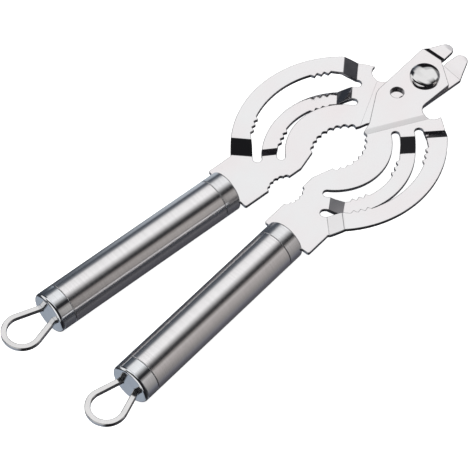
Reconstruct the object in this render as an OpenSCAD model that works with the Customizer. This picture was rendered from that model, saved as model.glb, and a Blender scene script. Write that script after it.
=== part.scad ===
// Jar, bottle and crown-cap opener: two crossed, stamped plates on one rivet, each in a round
// tube handle that ends in a flat hanging loop.
// Millimetres. +X points to the two prongs, +Y across the tool, +Z up. The tool rests on its two
// tubes, and the origin is under the middle of its length and width, on that surface.
// Each half is drawn in its own flat frame, with the pivot at 0,0 and the handle along -X, then
// turned by half the handles' spread. The right half is the left one's mirror image.

/* [Sheet] */
// Thickness of the stamped sheet
sheet = 1.8; // [1.2:0.01:2.2]
// Rise of the outer arc above the plate
outer_rise = 4.5; // [3:0.1:6]
// Drop of the middle arc below the plate
middle_drop = 4.5; // [3:0.1:6]
// Steepest angle of the arcs' bends
arc_bend_angle = 33.5; // [28:0.5:42]
// Steepest angle of the step at the pivot and of the prong's bend
step_angle = 20.5; // [16:0.5:30]
// Bend radius at the middle of the sheet
bend_r = 1.15; // [1.15:0.05:2.5]

/* [Rings] */
// Distance from the pivot back to the centre of the rings
ring_back = 57.6; // [54:0.1:62]
// Distance of the rings' centre past the handles' middle line
ring_across = 7.4; // [6:0.1:9]
// Outer radius of the whole head
head_r = 52.5; // [50:0.1:56]
// Gripping radius of the outer arc
outer_grip_r = 43.8; // [42.5:0.1:45]
// Outer radius of the middle arc
middle_r = 38.2; // [37:0.1:39]
// Gripping radius of the middle arc
middle_grip_r = 31.1; // [30:0.1:32]
// Outer radius of the inner jaw
jaw_r = 27.3; // [26:0.1:28]
// Gripping radius of the inner jaw, at the tips of its teeth
jaw_grip_r = 17.1; // [15:0.1:18]
// How far the jaw's own centre lies past the rings' centre
jaw_shift = 3.6; // [2:0.1:5]

/* [Teeth] */
// Number of hollows between the teeth of the inner jaw
jaw_teeth = 8; // [6:1:9]
// Angle from one hollow to the next on the inner jaw
jaw_pitch = 11.8; // [11:0.1:13]
// Depth of the hollows between the teeth of the inner jaw
jaw_tooth_h = 1.2; // [0.8:0.05:1.4]
// Teeth at each end of an arc
arc_teeth = 3; // [2:1:4]
// Spacing of the teeth on the arcs
arc_tooth_pitch = 3.4; // [3:0.1:4]
// Height of the teeth on the arcs
arc_tooth_h = 1.4; // [0.8:0.1:1.6]
// Number of hollows in the small notch
notch_teeth = 5; // [3:1:6]
// Radius of the small notch, at the tips of its teeth
notch_r = 9.1; // [7:0.1:11]
// Angle that the small notch takes up on that radius
notch_spread = 87; // [70:1:100]
// Depth of the hollows between the small notch's teeth
notch_tooth_h = 0.75; // [0.4:0.05:1]

/* [Neck and tang] */
// Distance from the pivot back to the end of the shoulder
shoulder_back = 112.7; // [110:0.1:116]
// Width of the shoulder in front of the tube
shoulder_w = 26.4; // [22:0.1:30]
// Distance from the pivot back to the centre of the small notch
notch_back = 92.5; // [90:0.1:95]
// Distance of the shoulder's middle past the handle's axis
shoulder_shift = 0.15; // [0:0.05:1]
// Width of the tang inside the handle
tang_w = 13; // [10:0.1:16]
// Length of the tang behind the shoulder
tang_len = 31; // [24:1:40]

/* [Pivot and prong] */
// Half width of the flat zone round the pivot
pivot_half_w = 11.6; // [10:0.1:13]
// Diameter of the rivet's shank
rivet_d = 8; // [5:0.1:10]
// Diameter of the rivet's domed head
rivet_head_d = 14.2; // [11:0.1:16]
// Height of the domed head
rivet_head_h = 3; // [2:0.1:4]
// Height of the straight rim under its dome
rivet_rim = 1; // [0.2:0.1:1.5]
// Diameter of the rivet's tail head, on the back
rivet_tail_d = 12; // [10:0.1:14]
// Height of the tail head
rivet_tail_h = 1.6; // [1:0.1:2.5]
// Diameter of the washer under the tail
washer_d = 13; // [11:0.5:15]
// Thickness of that washer
washer_t = 0.8; // [0.5:0.1:1.2]
// Diameter of the small hole in each plate
small_hole_d = 6.4; // [4:0.1:7]
// Distance from the pivot to the tip of the prong
prong_reach = 23.7; // [20:0.1:28]
// Radius of the prong's round tip
prong_tip_r = 3.3; // [2.5:0.1:4]
// Length of the prong's tip that is ground thin
prong_thin_len = 2.9; // [1.5:0.1:4]
// Thickness of the prong at its very tip
prong_tip_t = 0.7; // [0.4:0.1:1.2]
// Radius of the crown-cap notch
crown_notch_r = 4.9; // [4.5:0.1:5.5]
// Depth of the crown-cap notch into the flat zone round the pivot
crown_notch_in = 1.2; // [0.6:0.1:2]

/* [Handle] */
// Diameter of the tube handle
tube_d = 20; // [18:0.5:24]
// Length of the handle with its ferrule and cap
handle_len = 104.2; // [90:1:130]
// Distance of the handle's axis from the pivot's middle line
handle_offset = 11.25; // [10.5:0.05:16]
// Half the angle between the handles as the tool lies at rest
rest_half_angle = 3.95; // [2:0.05:8]
// Wall of the tube
tube_wall = 0.8; // [0.6:0.1:1.5]
// Length of the front ferrule that shows
ferrule_len = 8.2; // [6:0.1:14]
// Length of the end cap that shows
cap_len = 8.4; // [6:0.1:14]
// How far ferrule and cap reach into the tube
spigot_len = 6; // [4:0.5:10]
// Wall of the ferrule's and cap's spigots
spigot_wall = 0.7; // [0.5:0.1:1.2]
// Wall of the ferrule's and cap's flat ends
end_wall = 1.4; // [1:0.1:2.5]
// Round of the ferrule's front edge
ferrule_round = 0.8; // [0.4:0.1:1.2]
// Round of the cap's rear edge
cap_round = 1.6; // [0.8:0.1:2]
// Width of the fine groove beside that round edge
cap_groove = 0.35; // [0.2:0.05:0.5]
// Chamfer that makes the fine groove at each joint line
joint_chamfer = 0.3; // [0.1:0.05:0.5]
// Diameter of the pin that locks the tang in its core
tang_pin_d = 3; // [2:0.5:4]

/* [Hanging loop] */
// Width of the loop's flat strip
loop_band = 2.7; // [2:0.1:3.5]
// Thickness of the loop's flat strip
loop_t = 2.4; // [1.2:0.1:3]
// Radius of the loop's round end, at the middle of the strip
loop_r = 8.35; // [7:0.05:9]
// Distance from the cap's face to the centre of the loop's round end
loop_reach = 14.1; // [12:0.1:20]
// Distance of each leg from the handle's axis at the cap's face
loop_leg_offset = 4.4; // [3.8:0.1:4.8]
// How far each leg's foot is turned outwards behind the cap's face
loop_foot = 1.6; // [1:0.1:2]
// Thickness of each foot along the handle
loop_foot_t = 1.7; // [1.2:0.1:2.5]
// Length of the plug that backs the loop's feet
retainer_len = 4.5; // [3:0.5:10]

/* [Fits] */
// Gap between the two plates at the pivot
plate_gap = 0.04; // [0.02:0.01:0.1]
// Radial clearance of the rivet in the plate that turns
rivet_clear = 0.05; // [0.02:0.01:0.1]
// Radial clearance of spigots, core and plug inside the handle
slip = 0.05; // [0.02:0.01:0.1]
// Clearance round the tang and the loop's legs in their slots
slot_clear = 0.15; // [0.05:0.05:0.3]
// Gap between parts that face each other along the handle
end_gap = 0.1; // [0.05:0.05:0.3]

/* [Hidden] */
$fn = 96;

// Colours
mirror_steel = "#DAD9DB";
brushed_steel = "#9A9A9E";
cap_steel = "#A7ABB2";
core_nylon = "#3A3B3E";

// Levels at the pivot: the left plate steps down and the right plate steps up
pivot_level = (sheet + plate_gap) / 2;
down = -1;
up = 1;

// Stations along the handle, measured back from the pivot
handle_front = shoulder_back + end_gap;
tube_front = handle_front + ferrule_len;
handle_rear = handle_front + handle_len;
tube_rear = handle_rear - cap_len;
tang_end = shoulder_back + tang_len;
tube_r = tube_d / 2;
tube_bore_r = tube_r - tube_wall;
spigot_r = tube_bore_r - slip;
sleeve_bore_r = spigot_r - spigot_wall;
plug_r = sleeve_bore_r - slip;
pin_from_end = 8.7;
core_past_tang = 4;
pin_back = tang_end - pin_from_end;
core_end = tang_end + core_past_tang;

// The loop's legs run from the cap's face to the round end at this angle to the handle
leg_tilt = asin(loop_r / norm([loop_reach, loop_leg_offset])) - atan(loop_leg_offset / loop_reach);
loop_out_r = loop_r + loop_band / 2;
loop_in_r = loop_r - loop_band / 2;

// Where the pivot stands, so that the origin is under the middle of the tool
tool_back = cos(rest_half_angle) * (handle_rear + loop_reach) + loop_out_r
    - sin(rest_half_angle) * handle_offset;
tool_front = prong_reach;
pivot_x = (tool_back - tool_front) / 2;

// Lines that the plate's outline is drawn between
far = 90;
neck_y = handle_offset + shoulder_shift - shoulder_w / 2;
shoulder_top = neck_y + shoulder_w;
ring = [-ring_back, -ring_across];
jaw = ring - [0, jaw_shift];
waist = [ring[0] - 21.5, neck_y];
pivot_corner = [ring[0] + 19, neck_y];
pivot_low_corner = [-21.4, -pivot_half_w];
pivot_high_corner = [3.7, pivot_half_w];
// The lower corner is cut off between these two offsets from it
corner_cut_back = [-1.2, 0.7];
corner_cut_front = [1.6, 0];
prong_root_x = 12.2;
// The prong's own stretch of sheet starts this far before its bend
prong_join = 3;
crown_notch = [-12.8, pivot_half_w - crown_notch_in + crown_notch_r];
small_hole = [-15.9, -3.7];
corner_r = 1;

// Each bend line lies at an angle, and this far from the rings' centre where the bend reaches
// the arc: first the bend towards the handle, then the one towards the pivot
outer_bends = [[133.7, 0], [44, 4.4]];
middle_bends = [[147, 9.2], [44.5, 5.4]];
// The step at the pivot: a point on its edge nearest the pivot, and its direction
step_point = [-29.5, 6.4];
step_dir = 31.3;
// Angles on the rings, from +X: the slots' ends, and the first tooth next to each bend
slot_front = 39.3;
slot_back = 145.5;
outer_teeth_at = [58.3, 127.6];
middle_teeth_at = [63.5, 122.8];
outer_slot_end_w = 4.2;
// The hollow between the jaw's teeth that is nearest the pivot starts at this angle
jaw_first_edge = 37.5;

// ---- Outlines ----

// Points along an arc
function arc_points(centre, r, from, to, step = 3) =
    let (n = max(1, ceil(abs(to - from) / step)))
    [for (i = [0:n]) let (a = from + (to - from) * i / n) centre + r * [cos(a), sin(a)]];

// Points along a row of hollows with a sharp tooth between each two
function hollow_points(centre, r, depth, from, pitch, count, steps = 6) =
    [for (i = [0:count * steps]) let (a = from + pitch * i / steps)
        centre + (r + depth * abs(sin(180 * i / steps))) * [cos(a), sin(a)]];

// Half of a pointed tooth's foot, as a share of the pitch
tooth_half = 0.46;

// Points along a row of pointed teeth on the inside of an arc, each tooth three points
function tooth_points(r, from, pitch, count, h) =
    [for (i = [0:count - 1], k = [-1:1]) let (a = from + pitch * (i + tooth_half * k))
        (k == 0 ? r - h : r) * [cos(a), sin(a)]];

// Edge of the small notch, from its handle end to its pivot end
notch = [-notch_back, neck_y - notch_r * cos(notch_spread / 2)];
notch_points = hollow_points(notch, notch_r, notch_tooth_h, 90 + notch_spread / 2,
    -notch_spread / notch_teeth, notch_teeth, 5);

// Edge of the jaw, from the waist to the pivot
jaw_points = hollow_points(jaw, jaw_grip_r, jaw_tooth_h,
    jaw_first_edge + jaw_teeth * jaw_pitch, -jaw_pitch, jaw_teeth);

// Prong: its outer edge meets its round tip smoothly, its inner edge runs along the middle line
prong_root = [prong_root_x, -pivot_half_w];
prong_tip = [prong_reach - prong_tip_r, -prong_tip_r];
prong_slant = let (d = prong_tip - prong_root)
    atan2(d[1], d[0]) - asin(prong_tip_r / norm(d));
prong_points = concat([prong_root],
    arc_points(prong_tip, prong_tip_r, prong_slant - 90, 90, 10), [[prong_root_x + 0.3, 0]]);

// Crown-cap notch and the hook above it, which ends on the head's outer edge
hook_inset = 0.15;
hook_top = asin((crown_notch[1] + crown_notch_r + ring_across) / head_r);
crown_points = concat(arc_points(crown_notch, crown_notch_r, -90, -258, 8),
    [ring + (head_r - hook_inset) * [cos(hook_top + 0.1), sin(hook_top + 0.1)]]);
head_end = 180 - asin((shoulder_top + ring_across) / head_r);

// The plate's outer edge, from the tang round the jaw, prong and head and back
edge_points = concat(
    [[-tang_end + 1, handle_offset - tang_w / 2], [-shoulder_back, handle_offset - tang_w / 2]],
    arc_points([corner_r - shoulder_back, neck_y + corner_r], corner_r, 180, 270, 30),
    notch_points, [waist], jaw_points,
    [pivot_corner, pivot_low_corner + corner_cut_back, pivot_low_corner + corner_cut_front],
    prong_points, [pivot_high_corner], crown_points,
    arc_points(ring, head_r, hook_top + 0.9, head_end, 2.5),
    arc_points([corner_r - shoulder_back, shoulder_top - corner_r], corner_r, 90, 180, 30),
    [[-shoulder_back, handle_offset + tang_w / 2], [-tang_end + 1, handle_offset + tang_w / 2],
        [-tang_end, handle_offset + tang_w / 2 - 1], [-tang_end, handle_offset - tang_w / 2 + 1]]);

// Edge of a slot between two arcs, about the rings' centre: the inner side, the round end by
// the handle, the toothed outer side, and the round end by the pivot
function slot_points(r_in, r_out, end_w, teeth_at) =
    let (end_r = end_w / 2, mid = r_in + end_r, pitch = arc_tooth_pitch / r_out * 180 / PI,
        back = mid * [cos(slot_back), sin(slot_back)],
        front = mid * [cos(slot_front), sin(slot_front)],
        last = arc_teeth - 0.5)
    concat(arc_points([0, 0], r_in, slot_front, slot_back),
        arc_points(back, end_r, slot_back + 165, slot_back + 15, 15),
        arc_points([0, 0], r_in + end_w, slot_back - 1, slot_back - 7),
        tooth_points(r_out, teeth_at[1], -pitch, arc_teeth, arc_tooth_h),
        arc_points([0, 0], r_out, teeth_at[1] - last * pitch, teeth_at[0] + last * pitch),
        tooth_points(r_out, teeth_at[0] + (arc_teeth - 1) * pitch, -pitch, arc_teeth, arc_tooth_h),
        arc_points([0, 0], r_in + end_w, slot_front + 7, slot_front + 1),
        arc_points(front, end_r, slot_front - 15, slot_front - 165, 15));

module outline() {
    difference() {
        polygon(edge_points);
        translate(ring) {
            polygon(slot_points(middle_r, outer_grip_r, outer_slot_end_w, outer_teeth_at));
            polygon(slot_points(jaw_r, middle_grip_r, middle_grip_r - jaw_r, middle_teeth_at));
        }
        circle(rivet_d / 2 + rivet_clear);
        translate(small_hole) circle(small_hole_d / 2);
        translate([-pin_back, handle_offset]) circle(tang_pin_d / 2 + slip);
    }
}

// ---- Bent sheet ----

// Middle line of a bend from one level to another: [along, up, slope], with round ends
function bend_line(h, slope, r, steps = 3) =
    let (straight = (abs(h) - 2 * r * (1 - cos(slope))) / sin(slope), s = sign(h),
        turn = [r * sin(slope), r * (1 - cos(slope))],
        rise = turn + straight * [cos(slope), sin(slope)])
    concat([for (i = [0:steps]) let (a = slope * i / steps)
            [r * sin(a), s * r * (1 - cos(a)), s * a]],
        [for (i = [0:steps]) let (a = slope * (1 - i / steps))
            [rise[0] + turn[0] - r * sin(a), s * (rise[1] + r * (cos(a) - cos(slope))), s * a]]);

// Length of a bend along the sheet's level
function bend_run(h, slope, r) =
    2 * r * sin(slope) + (abs(h) - 2 * r * (1 - cos(slope))) / tan(slope);

// Side outline of the sheet through a bend, with level sheet before and after it; the far end
// may be ground thin over its last stretch
module bend_side(h, slope, r, before, after, thin = 0, end_t = sheet) {
    line = concat([[-before, 0, 0]], bend_line(h, slope, r));
    end = bend_run(h, slope, r) + after;
    last = len(line) - 1;
    polygon(concat(
        [for (p = line) [p[0] - sheet / 2 * sin(p[2]), p[1] + sheet / 2 * cos(p[2])]],
        [[end - thin, h + sheet / 2], [end, h + end_t / 2]],
        [[end, h - end_t / 2], [end - thin, h - sheet / 2]],
        [for (i = [last:-1:0]) let (p = line[i])
            [p[0] + sheet / 2 * sin(p[2]), p[1] - sheet / 2 * cos(p[2])]]));
}

// Sheet at one level, cut to the flat shape given
module level(z) {
    translate([0, 0, z - sheet / 2]) linear_extrude(sheet) children();
}

// Turns its children to a bend line, +Y towards the arc. The bends by the handle are seen
// from the other side, so they are mirrored
module at_bend(bends, i) {
    mirror([i == 0 ? 1 : 0, 0, 0]) rotate(i == 0 ? 180 - bends[i][0] : bends[i][0])
        translate([0, bends[i][1], 0]) children();
}

// The step at the pivot, +Y towards the pivot from the jaw's edge of the step
module at_step() {
    translate([step_point[0], step_point[1], 0]) rotate(180 + step_dir)
        translate([0, -step_run, 0]) children();
}

// A wide band across its own frame
module band(from, to) {
    translate([-far, from]) square([2 * far, to - from]);
}

// Flat sheet kept on each side of a bend, so that neighbouring stretches overlap
overlap = 0.6;
// Rings through the slots, between the jaw and the two arcs
outer_slot_mid = (middle_r + outer_grip_r - arc_tooth_h) / 2;
inner_slot_mid = (jaw_r + middle_grip_r - arc_tooth_h) / 2;
step_run = bend_run(pivot_level, step_angle, bend_r);

// The part of the outline between two rings
module ring_zone(r_in, r_out) {
    intersection() {
        translate(-ring) outline();
        difference() {
            circle(r_out);
            circle(r_in);
        }
        translate([-far, 0]) square([2 * far, far]);
    }
}

// One raised or lowered arc: level in its middle, with a bend at each end
module arc(r_in, r_out, h, bends) {
    run = bend_run(h, arc_bend_angle, bend_r);
    translate(ring) {
        level(h) intersection() {
            ring_zone(r_in, r_out);
            at_bend(bends, 0) band(0, far);
            at_bend(bends, 1) band(0, far);
        }
        for (i = [0, 1]) intersection() {
            linear_extrude(4 * abs(h), center = true) intersection() {
                ring_zone(r_in, r_out);
                at_bend(bends, i) translate([0, -run - overlap]) square([far, run + 2 * overlap]);
            }
            at_bend(bends, i) translate([0, -run, 0]) rotate([90, 0, 90]) linear_extrude(far)
                bend_side(h, arc_bend_angle, bend_r, far, far);
        }
    }
}

// The flat sheet is open where an arc has left it
module arc_window(r_in, r_out, h, bends) {
    run = bend_run(h, arc_bend_angle, bend_r);
    translate(ring) intersection() {
        difference() {
            circle(r_out);
            circle(r_in);
        }
        at_bend(bends, 0) band(-run, far);
        at_bend(bends, 1) band(-run, far);
    }
}

// Plate with the step at the pivot going down or up; the arcs go the same way on both
module plate(step) {
    step_h = step * pivot_level;
    join_x = prong_root_x - prong_join;
    prong_len = prong_reach - prong_root_x - step_run;
    tall = 6 * sheet;
    color(mirror_steel) {
        // Level sheet of the jaw, neck and tang
        level(0) difference() {
            outline();
            at_step() band(0, far);
            arc_window(outer_slot_mid, far, outer_rise, outer_bends);
            arc_window(inner_slot_mid, outer_slot_mid, middle_drop, middle_bends);
        }
        arc(outer_slot_mid, head_r + 1, outer_rise, outer_bends);
        arc(inner_slot_mid, outer_slot_mid, -middle_drop, middle_bends);
        // Step from the jaw's level to the pivot's
        intersection() {
            linear_extrude(tall, center = true) intersection() {
                outline();
                at_step() band(-overlap, step_run + overlap);
            }
            at_step() translate([-far, 0, 0]) rotate([90, 0, 90]) linear_extrude(2 * far)
                bend_side(step_h, step_angle, bend_r, far, far);
        }
        // Level sheet round the pivot
        level(step_h) intersection() {
            outline();
            at_step() band(step_run, far);
            translate([-far, -far]) square([far + join_x + overlap, 2 * far]);
        }
        // Prong, bent back to the jaw's level, with its tip ground thin
        intersection() {
            linear_extrude(tall, center = true) intersection() {
                outline();
                translate([join_x, -far]) square([far, 2 * far]);
            }
            translate([prong_root_x, -far, step_h]) rotate([90, 0, 180]) mirror([1, 0, 0])
                linear_extrude(2 * far)
                    bend_side(-step_h, step_angle, bend_r, far, prong_len, prong_thin_len, prong_tip_t);
        }
    }
}

// ---- Rivet ----

// Flat-topped head with its rim on z = 0: the side outline of its dome is a quarter ellipse
module rivet_head(d, h, rim) {
    rotate_extrude() polygon(concat([[0, 0], [d / 2, 0]],
        [for (a = [0:7.5:90]) [d / 2 * cos(a), rim + (h - rim) * sin(a)]]));
}

rivet_top = pivot_level + sheet / 2 + plate_gap;
rivet_bottom = -rivet_top;
washer_under = rivet_bottom - washer_t;
tail_rim = 0.4;

module pivot_rivet() {
    color(mirror_steel) {
        translate([0, 0, washer_under]) cylinder(d = rivet_d, h = rivet_top - washer_under);
        translate([0, 0, rivet_top]) rivet_head(rivet_head_d, rivet_head_h, rivet_rim);
        translate([0, 0, washer_under]) mirror([0, 0, 1])
            rivet_head(rivet_tail_d, rivet_tail_h, tail_rim);
    }
}

module pivot_washer() {
    color(brushed_steel) translate([0, 0, washer_under]) difference() {
        cylinder(d = washer_d, h = washer_t);
        translate([0, 0, -1]) cylinder(d = rivet_d + 2 * rivet_clear, h = washer_t + 2);
    }
}

// ---- Handle ----

// Puts its children on the handle's axis, +Z pointing back along the handle
module on_handle(back) {
    translate([-back, handle_offset, 0]) rotate([0, -90, 0]) children();
}

// Slot for the tang, through whatever it is taken from
module tang_slot(from, to) {
    translate([-to, handle_offset - tang_w / 2 - slot_clear, -sheet / 2 - slot_clear])
        cube([to - from, tang_w + 2 * slot_clear, sheet + 2 * slot_clear]);
}

// Depth of the fine groove beside the cap's round edge
groove_depth = 0.8 * cap_groove;

// Side outline of a sleeve with one flat end and a round edge, with or without a groove beside
// it: x is the radius, y runs into the handle
module sleeve_side(len, edge_round, groove = 0) {
    polygon(concat([[0, 0]],
        [for (a = [0:15:90])
            [tube_r - edge_round * (1 - sin(a)), edge_round * (1 - cos(a))]],
        groove == 0 ? [] : [[tube_r - groove_depth, edge_round + groove / 2],
            [tube_r, edge_round + groove]],
        [[tube_r, len - joint_chamfer], [tube_r - joint_chamfer, len], [spigot_r, len],
            [spigot_r, len + spigot_len], [sleeve_bore_r, len + spigot_len],
            [sleeve_bore_r, end_wall], [0, end_wall]]));
}

module front_ferrule() {
    color(brushed_steel) difference() {
        on_handle(handle_front) rotate_extrude() sleeve_side(ferrule_len, ferrule_round);
        tang_slot(handle_front - 1, handle_front + end_wall + 1);
    }
}

module handle_tube() {
    length = tube_rear - tube_front;
    color(brushed_steel) on_handle(tube_front) rotate_extrude()
        polygon([[tube_bore_r, 0], [tube_r - joint_chamfer, 0], [tube_r, joint_chamfer],
            [tube_r, length - joint_chamfer], [tube_r - joint_chamfer, length],
            [tube_bore_r, length]]);
}

module end_cap() {
    leg_w = loop_band + 2 * slot_clear;
    leg_h = loop_t + 2 * slot_clear;
    color(cap_steel) difference() {
        on_handle(handle_rear) mirror([0, 0, 1]) rotate_extrude()
            sleeve_side(cap_len, cap_round, cap_groove);
        for (side = [-1, 1])
            translate([-handle_rear - 1, handle_offset + side * loop_leg_offset - leg_w / 2, -leg_h / 2])
                cube([end_wall + 2, leg_w, leg_h]);
    }
}

module tang_core() {
    start = handle_front + end_wall + end_gap;
    neck_end = tube_front + spigot_len + end_gap;
    color(core_nylon) difference() {
        union() {
            on_handle(start) cylinder(r = plug_r, h = neck_end - start);
            on_handle(neck_end) cylinder(r = spigot_r, h = core_end - neck_end);
        }
        tang_slot(start - 1, tang_end + end_gap);
        translate([-pin_back, handle_offset, -tube_d]) cylinder(d = tang_pin_d + 2 * slip, h = 2 * tube_d);
    }
}

module tang_pin() {
    half_len = sqrt(pow(spigot_r, 2) - pow(tang_pin_d / 2, 2)) - end_gap;
    color(brushed_steel) translate([-pin_back, handle_offset, -half_len])
        cylinder(d = tang_pin_d, h = 2 * half_len);
}

// The hanging loop: a flat strip bent into a drop, its two feet turned out inside the cap.
// Points are [back from the cap's face, across]
leg_in = end_wall + end_gap + loop_foot_t;
loop_side = [[-leg_in, loop_leg_offset - loop_band / 2],
    [-leg_in, loop_leg_offset + loop_band / 2 + loop_foot],
    [loop_foot_t - leg_in, loop_leg_offset + loop_band / 2 + loop_foot],
    [loop_foot_t - leg_in, loop_leg_offset + loop_band / 2],
    [end_gap, loop_leg_offset + loop_band / 2]];
loop_points = concat(loop_side,
    arc_points([loop_reach, 0], loop_out_r, 90 + leg_tilt, -90 - leg_tilt, 5),
    [for (i = [len(loop_side) - 1:-1:0]) [loop_side[i][0], -loop_side[i][1]]],
    [[end_gap, loop_band / 2 - loop_leg_offset]],
    arc_points([loop_reach, 0], loop_in_r, -90 - leg_tilt, 90 + leg_tilt, 6),
    [[end_gap, loop_leg_offset - loop_band / 2]]);

module hanging_loop() {
    color(mirror_steel) translate([-handle_rear, handle_offset, -loop_t / 2])
        linear_extrude(loop_t) polygon([for (p = loop_points) [-p[0], p[1]]]);
}

module loop_retainer() {
    start = handle_rear - leg_in - end_gap;
    color(core_nylon) on_handle(start - retainer_len) cylinder(r = plug_r, h = retainer_len);
}

// ---- Placing the halves ----

module left_half() {
    translate([pivot_x, 0, tube_r]) rotate(-rest_half_angle) children();
}

module right_half() {
    mirror([0, 1, 0]) left_half() children();
}

module at_pivot() {
    translate([pivot_x, 0, tube_r]) children();
}

module left_plate() { left_half() plate(down); }
module right_plate() { right_half() plate(up); }

left_plate();
right_plate();
at_pivot() pivot_rivet();
at_pivot() pivot_washer();
left_half() front_ferrule();  // left_front_ferrule
left_half() handle_tube();  // left_handle_tube
left_half() end_cap();  // left_end_cap
left_half() tang_core();  // left_tang_core
left_half() tang_pin();  // left_tang_pin
left_half() loop_retainer();  // left_loop_retainer
left_half() hanging_loop();  // left_hanging_loop
right_half() front_ferrule();  // right_front_ferrule
right_half() handle_tube();  // right_handle_tube
right_half() end_cap();  // right_end_cap
right_half() tang_core();  // right_tang_core
right_half() tang_pin();  // right_tang_pin
right_half() loop_retainer();  // right_loop_retainer
right_half() hanging_loop();  // right_hanging_loop
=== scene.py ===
# %% [markdown]
# # A pliers-like opener for jars, bottles and crown caps
# The tool is two stamped steel plates crossed on one rivet. Each plate runs into a round steel
# handle with a ferrule in front, a cap behind and a flat hanging loop. The sizes and places all
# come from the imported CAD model, so this lesson is about edges, finishes and light.

# %% Load the fixed frame
import math
import bpy
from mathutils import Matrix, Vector


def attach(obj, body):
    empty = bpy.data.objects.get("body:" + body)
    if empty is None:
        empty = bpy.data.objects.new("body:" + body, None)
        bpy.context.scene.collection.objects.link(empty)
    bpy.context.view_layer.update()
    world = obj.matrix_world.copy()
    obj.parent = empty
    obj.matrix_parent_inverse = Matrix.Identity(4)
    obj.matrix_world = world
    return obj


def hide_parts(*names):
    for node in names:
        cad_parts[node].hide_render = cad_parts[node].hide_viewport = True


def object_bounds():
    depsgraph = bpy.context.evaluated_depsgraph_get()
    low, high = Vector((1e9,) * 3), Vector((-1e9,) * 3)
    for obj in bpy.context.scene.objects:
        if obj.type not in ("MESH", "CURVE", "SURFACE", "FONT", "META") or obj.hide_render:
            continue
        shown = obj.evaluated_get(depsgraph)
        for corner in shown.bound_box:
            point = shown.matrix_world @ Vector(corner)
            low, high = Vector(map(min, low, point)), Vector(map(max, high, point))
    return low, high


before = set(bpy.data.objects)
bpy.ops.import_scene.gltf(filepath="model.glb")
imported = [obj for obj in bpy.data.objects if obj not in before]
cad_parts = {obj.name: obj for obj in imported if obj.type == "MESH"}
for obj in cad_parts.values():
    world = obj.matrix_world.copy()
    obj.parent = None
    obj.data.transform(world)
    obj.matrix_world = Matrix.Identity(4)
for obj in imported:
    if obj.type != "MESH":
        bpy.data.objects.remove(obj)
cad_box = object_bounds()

mm = 0.001  # one millimetre in the scene, whose unit is the metre
print("CAD box in mm:", [[round(v * 1000, 1) for v in corner] for corner in cad_box])

# %% [markdown]
# ## Camera
# The tool is seen from well above and from its loops' side, through a long lens, so that the two
# handles look almost parallel. The camera looks at a point on the middle line, near the ferrules.
# A long lens from far away keeps the rings from looking stretched.

# %% Camera
target = (-0.018745, -0.001385, 0.0100)
azimuth, elevation, distance = math.radians(-44.575), math.radians(54.83), 1.2043
lens_mm, sensor_mm = 204.36, 36.0
farthest_seen = 20.0  # m


def place_camera(eye):
    bpy.ops.object.select_all(action="DESELECT")
    bpy.ops.object.camera_add(location=eye)
    camera = bpy.context.active_object
    camera.name = "camera"
    aim = Vector(target) - Vector(eye)
    camera.rotation_euler = aim.to_track_quat("-Z", "Y").to_euler()
    camera.data.lens = lens_mm
    camera.data.sensor_width = sensor_mm
    camera.data.clip_end = farthest_seen
    bpy.context.scene.camera = camera
    return aim.length


eye = (target[0] + distance * math.sin(azimuth) * math.cos(elevation),
       target[1] - distance * math.cos(azimuth) * math.cos(elevation),
       target[2] + distance * math.sin(elevation))
print("camera distance in m:", round(place_camera(eye), 4))

# %% [markdown]
# ## Nodes and colours
# Colours are picked as they look on a screen, as hex values, and Blender computes with linear
# light, so one function turns the one into the other. A second small function adds a shader node
# with its settings, its values and its links in one line, and three more name what is done most:
# remap a value, mix two colours, and turn a height into a bump.

# %% Colour helpers
def linear(hex_colour):
    channels = [int(hex_colour[i:i + 2], 16) / 255 for i in (1, 3, 5)]
    return (*[c / 12.92 if c <= 0.04045 else ((c + 0.055) / 1.055) ** 2.4 for c in channels], 1.0)


def darkened(hex_colour, share):
    return (*[share * c for c in linear(hex_colour)[:3]], 1.0)


print("mid grey in linear light:", [round(c, 3) for c in linear("#808080")])

# %% Node helpers
def add_node(tree, kind, settings=None, values=None, links=None):
    node = tree.nodes.new(kind)
    for name, value in (settings or {}).items():
        setattr(node, name, value)
    for socket, value in (values or {}).items():
        node.inputs[socket].default_value = value
    for socket, source in (links or {}).items():
        tree.links.new(source, node.inputs[socket])
    return node


def remap(tree, value, from_low, from_high, to_low=0.0, to_high=1.0, curve="LINEAR"):
    return add_node(tree, "ShaderNodeMapRange", {"interpolation_type": curve},
                    {1: from_low, 2: from_high, 3: to_low, 4: to_high}, {0: value}).outputs[0]


def mixed(tree, share, first, second):
    """A colour from first (share 0) to second (share 1). Each is a colour or a socket."""
    node = add_node(tree, "ShaderNodeMix", {"data_type": "RGBA"}, links={0: share})
    for socket, colour in ((6, first), (7, second)):
        if isinstance(colour, tuple):
            node.inputs[socket].default_value = colour
        else:
            tree.links.new(colour, node.inputs[socket])
    return node.outputs[2]


def bumped(tree, height, strength, depth_mm, under=None):
    """The normal that a height gives, on top of the normal under it if there is one."""
    links = {"Height": height, "Normal": under} if under else {"Height": height}
    return add_node(tree, "ShaderNodeBump", None,
                    {"Strength": strength, "Distance": depth_mm * mm}, links).outputs[0]


print("node helpers are ready")

# %% [markdown]
# ## Studio
# Polished steel has almost no colour of its own: it shows the room. A product studio for steel
# is a white softbox over and behind the tool, black cloth on the camera's side, and grey walls.
# The tool lies along X, so the room is drawn as light that depends on the angle round X: 0 is
# straight up, minus is the side away from the camera, and plus is the camera's side. Eight strips
# of it follow each other along X, from the loops' side of the room to the prongs' side.

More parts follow.
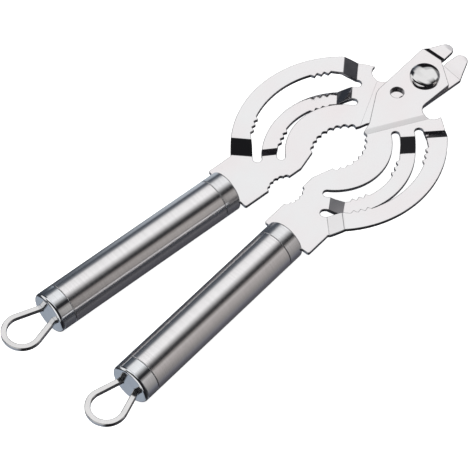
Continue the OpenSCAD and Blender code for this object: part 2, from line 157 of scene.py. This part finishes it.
# %% Strips of the room
room_strips = [  # where along X the strip starts and is full, then angle and brightness
    (None, None, [(-180, "#9FA7B2"), (-122, "#B0B7C1"), (-112, "#2A2B2E"), (-62, "#202022"),
                  (-52, "#FFFFFF"), (128, "#FFFFFF"), (138, "#1C1C1E"), (155, "#1C1C1E"),
                  (172, "#9FA7B2"), (180, "#9FA7B2")]),
    (-0.80, -0.70, [(-180, "#9FA7B2"), (-132, "#A6AEB9"), (-122, "#3A3D42"), (-93, "#3A3D42"),
                    (-84, "#F4F4F4"), (-58, "#F4F4F4"), (-48, "#1C1C1E"), (60, "#1C1C1E"),
                    (100, "#222226"), (158, "#1C1C1E"), (172, "#9FA7B2"), (180, "#9FA7B2")]),
    (-0.34, -0.30, [(-180, "#9FA7B2"), (-132, "#A6AEB9"), (-122, "#3A3D42"), (-93, "#3A3D42"),
                    (-84, "#F4F4F4"), (-26, "#FFFFFF"), (-14, "#B0B0B0"), (0, "#303032"),
                    (60, "#1C1C1E"), (100, "#222226"), (158, "#1C1C1E"), (172, "#9FA7B2"),
                    (180, "#9FA7B2")]),
    (-0.16, 0.02, [(-180, "#4A4A4E"), (-150, "#3E444C"), (-80, "#34383F"), (-60, "#2A2C30"),
                   (-48, "#3A3D42"), (-40, "#FFFFFF"), (5, "#FFFFFF"), (22, "#A8A8A8"),
                   (32, "#29292B"), (46, "#202022"), (90, "#2B2B2C"), (180, "#4A4A4E")]),
    (0.20, 0.27, [(-180, "#4A4A4E"), (-150, "#50555C"), (-81, "#444A52"), (-60, "#6A6E74"),
                  (-46, "#F0F0F0"), (-8, "#FFFFFF"), (6, "#CFCFCF"), (16, "#7C7C7C"),
                  (25, "#2C2C2E"), (37, "#262628"), (45, "#96918E"), (54, "#B4B0AD"),
                  (76, "#ACA8A5"), (86, "#6E6C6C"), (98, "#505052"), (111, "#444446"),
                  (125, "#646468"), (141, "#54545A"), (180, "#4A4A4E")]),
    (0.385, 0.42, [(-180, "#6A6866"), (-150, "#C4CCD4"), (-92, "#BCC4CC"), (-83, "#5C616A"),
                   (-73, "#50555D"), (-62, "#7E8288"), (-50, "#E4E4E4"), (-36, "#FFFFFF"),
                   (-6, "#FFFFFF"), (7, "#CDCDCD"), (17, "#8A8A8A"), (26, "#343436"),
                   (37, "#262628"), (46, "#8A8684"), (56, "#CBC7C5"), (67, "#B9B5B3"),
                   (88, "#ADA9A7"), (113, "#92908F"), (127, "#808086"), (144, "#64646C"),
                   (168, "#525258"), (180, "#6A6866")]),
    (0.53, 0.60, [(-180, "#3A3A3E"), (-100, "#242428"), (-56, "#161618"), (-46, "#1E1E20"),
                  (-41, "#D4D4D6"), (-34, "#DADADC"), (-31, "#FFFFFF"), (16, "#FFFFFF"),
                  (26, "#8A8A8A"), (40, "#4A4A4C"), (90, "#6A6866"), (180, "#3A3A3E")]),
    (0.76, 0.86, [(-180, "#3A3A3E"), (-100, "#2A2A2C"), (-45, "#161618"), (-20, "#909090"),
                  (15, "#707074"), (24, "#3E3F43"), (28, "#48494D"), (38, "#A8A8AA"),
                  (60, "#8A8A8C"), (180, "#3A3A3E")])]
print("room strips:", len(room_strips))

# %% [markdown]
# The world's own coordinates give each direction as X, Y and Z. Y and Z give the angle round X,
# each strip turns that angle into light through a colour ramp, and X fades one strip into the
# next.

# %% Room from the strips
def angle_ramp(tree, angle, stops):
    node = add_node(tree, "ShaderNodeValToRGB", links={"Fac": angle})
    elements = node.color_ramp.elements
    while len(elements) > 1:
        elements.remove(elements[-1])
    places = [((degrees + 180) / 360, linear(colour)) for degrees, colour in stops]
    elements[0].position, elements[0].color = places[0]
    for position, colour in places[1:]:
        elements.new(position).color = colour
    return node.outputs["Color"]


world = bpy.data.worlds.new("steel_studio")
bpy.context.scene.world = world
world.use_nodes = True
room = world.node_tree
room.nodes.clear()
direction = add_node(room, "ShaderNodeTexCoord").outputs["Generated"]
ways = add_node(room, "ShaderNodeSeparateXYZ", links={0: direction}).outputs
near = add_node(room, "ShaderNodeMath", {"operation": "MULTIPLY"}, {1: -1.0}, {0: ways["Y"]})
round_x = add_node(room, "ShaderNodeMath", {"operation": "ARCTAN2"},
                   links={0: near.outputs[0], 1: ways["Z"]})
angle = remap(room, round_x.outputs[0], -math.pi, math.pi)
light = angle_ramp(room, angle, room_strips[0][2])
for start, full, stops in room_strips[1:]:
    share = remap(room, ways["X"], start, full, curve="SMOOTHSTEP")
    light = mixed(room, share, light, angle_ramp(room, angle, stops))
sky = add_node(room, "ShaderNodeBackground", links={"Color": light})
add_node(room, "ShaderNodeOutputWorld", links={"Surface": sky.outputs[0]})
bpy.context.scene.view_settings.view_transform = "Standard"
bpy.context.scene.view_settings.look = "None"
print("nodes in the room:", len(room.nodes))

# %% [markdown]
# ## Floor
# The tool lies on a white, evenly lit table that fades into the background. Much of its light is
# its own, as on a light table, so the shadow stays faint. Steel would show the whole table as a
# white sheet, so the table is hidden from reflections and the room's own floor shows instead.

# %% Floor
table_size, gap_under_tool = 6.0, 0.0002  # m
own_light = 0.95

bpy.ops.object.select_all(action="DESELECT")
bpy.ops.mesh.primitive_plane_add(size=table_size, location=(0, 0, cad_box[0][2] - gap_under_tool))
table = bpy.context.active_object
table.name = "table"
table.visible_glossy = False
table_paint = bpy.data.materials.new("white_table")
table_paint.use_nodes = True
table_shader = table_paint.node_tree.nodes["Principled BSDF"]
table_shader.inputs["Base Color"].default_value = linear("#F2F2F2")
table_shader.inputs["Roughness"].default_value = 1.0
table_shader.inputs["Specular IOR Level"].default_value = 0.0
table_shader.inputs["Emission Color"].default_value = linear("#FFFFFF")
table_shader.inputs["Emission Strength"].default_value = own_light
table.data.materials.append(table_paint)
print("table height in mm:", round(table.location.z / mm, 2))

# %% [markdown]
# ## Fill light
# A wide, weak lamp over the tool lights the table. It is hidden from reflections, because a round
# spot in the steel would spoil the even bands of the room.

# %% Fill light
fill_place, fill_size, fill_watts = (0.2, 0.3, 1.5), 1.6, 9.0  # m, m, W

bpy.ops.object.select_all(action="DESELECT")
bpy.ops.object.light_add(type="AREA", location=fill_place)
fill = bpy.context.active_object
fill.name = "fill_light"
fill.data.shape = "DISK"
fill.data.size = fill_size
fill.data.energy = fill_watts
fill.visible_glossy = False
fill.rotation_euler = (-fill.location).to_track_quat("-Z", "Y").to_euler()
print("fill light:", fill_watts, "W over", fill_size, "m")

# %% [markdown]
# ## Steel
# Stainless steel reflects about 60 to 90 % of the light, a little warmer than grey. What tells
# the parts apart is how their surface was made: the plates and loops are buffed to a mirror, the
# handles are brushed in fine rings round their axis, and the sheared edge of the sheet is duller
# than its faces. Roughness and bump carry most of that, and the own colour only shifts a little.
# Painted shade darkens the sheet's edges and bends and the grooves between the handle's rings.

# %% Start of every finish
def new_material(name):
    material = bpy.data.materials.new(name)
    material.use_nodes = True
    return material, material.node_tree, material.node_tree.nodes["Principled BSDF"]


def steel(name):
    material, tree, shader = new_material(name)
    shader.inputs["Metallic"].default_value = 1.0
    return material, tree, shader


def patches(tree, size_mm, low, high, turn=0.0, detail=2.0):
    """Soft patches of the given size along X, Y and Z, as values from low to high."""
    place = add_node(tree, "ShaderNodeTexCoord").outputs["Object"]
    pattern = add_node(tree, "ShaderNodeMapping", {"vector_type": "TEXTURE"},
                       {"Rotation": (0, 0, turn), "Scale": [size * mm for size in size_mm]},
                       {"Vector": place})
    noise = add_node(tree, "ShaderNodeTexNoise", values={"Scale": 1.0, "Detail": detail},
                     links={"Vector": pattern.outputs[0]})
    return remap(tree, noise.outputs["Fac"], 0.3, 0.7, low, high)


half_spread = math.radians(3.95)  # from the middle line to each handle's axis
turns = {"left": -half_spread, "right": half_spread}
print("degrees between the handles:", round(math.degrees(2 * half_spread), 2))

# %% [markdown]
# ## Painted shade along edges and bends
# A hair-thin painted shade darkens the colour along every cut edge and every bend. The bevel node
# finds those places: there its rounded normal differs from the plain one.

# %% Painted shade along edges and bends
crease_shade_mm = 0.45  # how far from an edge or a bend the line reaches
alike_unshaded, alike_fully_shaded = 0.9992, 0.985  # cosines of about 2 and 10 degrees
crease_shade_strength = 0.9


def with_painted_crease_shade(tree, colour):
    plain_normal = add_node(tree, "ShaderNodeNewGeometry").outputs["Normal"]
    rounded = add_node(tree, "ShaderNodeBevel", {"samples": 8}, {"Radius": crease_shade_mm * mm})
    alike = add_node(tree, "ShaderNodeVectorMath", {"operation": "DOT_PRODUCT"},
                     links={0: plain_normal, 1: rounded.outputs[0]})
    crease_shade = remap(tree, alike.outputs["Value"], alike_unshaded, alike_fully_shaded,
                    0.0, crease_shade_strength)
    # painted shade: along edges and bends the colour is mixed towards this dark grey
    return mixed(tree, crease_shade, colour, linear("#4A4A4E"))


print("skipped line in mm:", crease_shade_mm)

# %% [markdown]
# ## Mirror-buffed sheet
# The plates are stamped from stainless sheet and buffed on a cloth wheel. Buffing leaves a very
# smooth face with a slow waviness of a few millimetres, and hair-fine lines along the plate. The
# lines are finer than the picture can show, so they are drawn about half a millimetre apart. The
# edge was sheared, not buffed: where the surface stands upright it is duller, and its colour is
# painted darker there as painted shade, which draws a dark line along every outline.

# %% Mirror-buffed sheet
edge_level, face_level = 0.25, 0.6  # how much of the normal points up or down
sheared_roughness = 0.34


def buffed_sheet(turn):
    material, tree, shader = steel("buffed_stainless_sheet")
    normal = add_node(tree, "ShaderNodeTexCoord").outputs["Normal"]
    upright = add_node(tree, "ShaderNodeSeparateXYZ", links={0: normal})
    level = add_node(tree, "ShaderNodeMath", {"operation": "ABSOLUTE"},
                     links={0: upright.outputs["Z"]})
    face = remap(tree, level.outputs[0], edge_level, face_level, curve="SMOOTHSTEP")
    rough = add_node(tree, "ShaderNodeMix", values={2: sheared_roughness},
                     links={0: face, 3: patches(tree, (9, 5, 9), 0.05, 0.11, turn)})
    tree.links.new(rough.outputs[0], shader.inputs["Roughness"])
    tint = mixed(tree, patches(tree, (22, 14, 22), 0.0, 1.0, turn),
                 linear("#ECE7E8"), linear("#EBEBEC"))
    # painted shade: the upright edge walls and bevels take a darker grey than the faces
    edge_shaded_colour = mixed(tree, face, linear("#A2A2A6"), tint)
    tree.links.new(with_painted_crease_shade(tree, edge_shaded_colour), shader.inputs["Base Color"])
    lines = bumped(tree, patches(tree, (14, 0.5, 14), 0.0, 1.0, turn), 0.10, 0.01)
    waves = bumped(tree, patches(tree, (7, 7, 7), 0.0, 1.0, turn, 0.0), 0.25, 0.02, lines)
    tree.links.new(waves, shader.inputs["Normal"])
    return material


sheet_steel = {side: buffed_sheet(turn) for side, turn in turns.items()}
print("sheet finishes:", [m.name for m in sheet_steel.values()])

# %% [markdown]
# ## Ring-brushed handle steel
# The tube, ferrule and cap were turned against an abrasive belt, which leaves fine rings round
# the handle. Rings spread a reflection along the handle and leave it sharp across, so the bands
# of light stay crisp. Each ring is about 0.1 mm on the real part and is drawn about 0.3 mm wide.

# %% Ring-brushed handle steel
ring_mm, ring_depth_mm, ring_strength = 0.30, 0.010, 0.08
groove_shade_share = 0.89  # of the colour's light left in the grooves between the rings, as painted shade


def ring_brushed(name, colour, low, high, turn):
    material, tree, shader = steel(name)
    rings = patches(tree, (ring_mm, 14, 14), 0.0, 1.0, turn, 4.0)
    tree.links.new(patches(tree, (ring_mm, 9, 9), low, high, turn), shader.inputs["Roughness"])
    # painted shade: the grooves between the rings take a darker colour
    tint = mixed(tree, rings, darkened(colour, groove_shade_share), linear(colour))
    tree.links.new(tint, shader.inputs["Base Color"])
    tree.links.new(bumped(tree, rings, ring_strength, ring_depth_mm), shader.inputs["Normal"])
    return material


tube_steel = {s: ring_brushed("ring_brushed_tube", "#F3F1F2", 0.15, 0.20, t)
              for s, t in turns.items()}
ferrule_steel = {s: ring_brushed("ring_brushed_ferrule", "#EDEDEF", 0.15, 0.21, t)
                 for s, t in turns.items()}
cap_steel = {s: ring_brushed("ring_brushed_cap", "#EDEFF2", 0.07, 0.12, t)
             for s, t in turns.items()}
print("handle finishes:", len(tube_steel) + len(ferrule_steel) + len(cap_steel))

# %% [markdown]
# ## Polished loops, rivet and pin
# The loops are flat strip with its edges rounded in a tumbling barrel, which gives a soft shine
# with faint dimples. The rivet's head was formed by a polished die. The pin and the washer are
# plain turned parts and duller.

# %% Polished loops, rivet and pin
dimple_depth_mm, dimple_strength = 0.008, 0.15
tarnished_share = 0.93  # of the colour's light that the slightly tarnished patches reflect


def tumbled(name, colour, low, high, dimple_mm):
    material, tree, shader = steel(name)
    tree.links.new(patches(tree, (4, 4, 4), low, high), shader.inputs["Roughness"])
    tint = mixed(tree, patches(tree, (6, 6, 6), 0.0, 1.0),
                 linear(colour), darkened(colour, tarnished_share))
    tree.links.new(tint, shader.inputs["Base Color"])
    dimples = patches(tree, (dimple_mm,) * 3, 0.0, 1.0)
    tree.links.new(bumped(tree, dimples, dimple_strength, dimple_depth_mm),
                   shader.inputs["Normal"])
    return material


loop_steel = dict.fromkeys(turns, tumbled("tumbled_strip", "#E8E7E7", 0.06, 0.13, 1.2))
rivet_steel = tumbled("die_formed_rivet", "#E6E5E5", 0.02, 0.05, 2.0)
pin_steel = tumbled("turned_pin", "#C9C9CC", 0.22, 0.32, 0.8)
print("loop, rivet and pin finishes are made")

# %% [markdown]
# ## Glass-filled nylon
# The core and the loop's retainer are moulded from glass-filled nylon: dull and nearly black,
# with a fine grain.

# %% Glass-filled nylon
nylon_ior = 1.53


def glass_filled_nylon():
    material, tree, shader = new_material("glass_filled_nylon")
    shader.inputs["IOR"].default_value = nylon_ior
    grain = patches(tree, (0.6, 0.6, 0.6), 0.0, 1.0)
    tree.links.new(patches(tree, (2, 2, 2), 0.45, 0.65), shader.inputs["Roughness"])
    tree.links.new(mixed(tree, grain, linear("#26272A"), linear("#313236")),
                   shader.inputs["Base Color"])
    tree.links.new(bumped(tree, grain, 0.3, 0.02), shader.inputs["Normal"])
    return material


core_nylon = glass_filled_nylon()
print("finish for core and retainer:", core_nylon.name)

# %% [markdown]
# ## Pieces
# The CAD solids have the right shape, but their edges are perfectly sharp, and a sharp edge on
# steel catches no light. A merged copy of each one can get a small real edge radius. The flat
# faces have to stay flat in the mirror, so flat neighbours become one face and the normals are
# weighted by area. A piece that is round all over has no flat faces and skips both.

# %% Copy a CAD solid and break its edges
merge_mm = 0.002     # points nearer than this are the same point of the solid
flat_degrees = 0.4   # faces that turn less than this are one flat face
cut_degrees = 50     # an edge that turns more than this gets a radius
round_degrees = 46   # an edge that turns less than this is shaded round
area_decides = 100   # the weight at which the largest face sets the normal


def edged_copy(node, name, radius_mm=0.0, steps=2, round_all_over=False):
    bpy.ops.object.select_all(action="DESELECT")
    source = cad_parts[node]
    piece = source.copy()
    piece.data = source.data.copy()
    piece.name = piece.data.name = name
    bpy.context.scene.collection.objects.link(piece)
    piece.select_set(True)
    bpy.context.view_layer.objects.active = piece
    piece.data.materials.clear()
    bpy.ops.object.mode_set(mode="EDIT")
    bpy.ops.mesh.select_all(action="SELECT")
    bpy.ops.mesh.remove_doubles(threshold=merge_mm * mm)
    if not round_all_over:
        bpy.ops.mesh.dissolve_limited(angle_limit=math.radians(flat_degrees))
    bpy.ops.object.mode_set(mode="OBJECT")
    if radius_mm:
        round_cut_edges(piece, radius_mm, steps)
    bpy.ops.mesh.customdata_custom_splitnormals_clear()
    bpy.ops.object.shade_smooth_by_angle(angle=math.radians(round_degrees))
    if not round_all_over:
        keep_faces_flat(piece)
    return piece


def round_cut_edges(piece, radius_mm, steps):
    bpy.ops.object.modifier_add(type="BEVEL")
    bevel = piece.modifiers[-1]
    bevel.width = radius_mm * mm
    bevel.segments = steps
    bevel.limit_method = "ANGLE"
    bevel.angle_limit = math.radians(cut_degrees)
    bevel.use_clamp_overlap = False
    bpy.ops.object.modifier_apply(modifier=bevel.name)


def keep_faces_flat(piece):
    bpy.ops.object.modifier_add(type="WEIGHTED_NORMAL")
    weighted = piece.modifiers[-1]
    weighted.keep_sharp = True
    weighted.weight = area_decides
    bpy.ops.object.modifier_apply(modifier=weighted.name)


print("merge in mm:", merge_mm, "radius above degrees:", cut_degrees)

# %% [markdown]
# Each finished copy takes its material, stands in for its CAD solid and rides that solid's body.

# %% Finish a piece
def finish_piece(piece, material, node, body):
    piece.data.materials.append(material)
    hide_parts(node)
    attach(piece, body)
    print(f"{piece.name}: {len(piece.data.polygons)} faces on {body}")


# %% [markdown]
# ## Both halves
# Both halves are built from the same kinds of pieces, so one loop makes both. The sheet's edge
# is only just broken and the loop's strip is rounded much more. The tube and its end pieces keep
# their crisp joint lines.

# %% Both halves
half_pieces = [  # node, new piece, edge radius in mm and its steps, finish, slot
    ("_plate", "_head", 0.18, 2, sheet_steel, "mirror_steel"),
    ("_hanging_loop", "_loop_strip", 0.45, 3, loop_steel, "loop_steel"),
    ("_front_ferrule", "_ferrule", 0.0, 0, ferrule_steel, "ferrule_steel"),
    ("_handle_tube", "_tube", 0.0, 0, tube_steel, "brushed_steel"),
    ("_end_cap", "_cap", 0.0, 0, cap_steel, "cap_steel")]

for side in turns:
    for node, name, radius_mm, steps, finish, slot in half_pieces:
        piece = edged_copy(side + node, side + name, radius_mm, steps)
        finish_piece(piece, finish[side], side + node, side + "_half")

# %% [markdown]
# ## Rivet and washer
# The rivet's head is a dome without a flat face, so the rivet is only merged and shaded round.
# Both pieces ride the left half, which the rivet is fixed to.

# %% Rivet and washer
rivet = edged_copy("pivot_rivet", "rivet", round_all_over=True)
finish_piece(rivet, rivet_steel, "pivot_rivet", "left_half")
washer = edged_copy("pivot_washer", "washer", 0.1)
finish_piece(washer, pin_steel, "pivot_washer", "left_half")

# %% [markdown]
# ## Hidden parts
# The core, the pin and the loop's retainer are inside the handles. Their CAD solids stay as they
# are and only get their finish.

# %% Hidden parts
hidden_finish = {"_tang_core": core_nylon, "_loop_retainer": core_nylon, "_tang_pin": pin_steel}
for side in turns:
    for node, material in hidden_finish.items():
        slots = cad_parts[side + node].data.materials
        slots.clear()
        slots.append(material)
print("hidden parts finished:", len(turns) * len(hidden_finish))
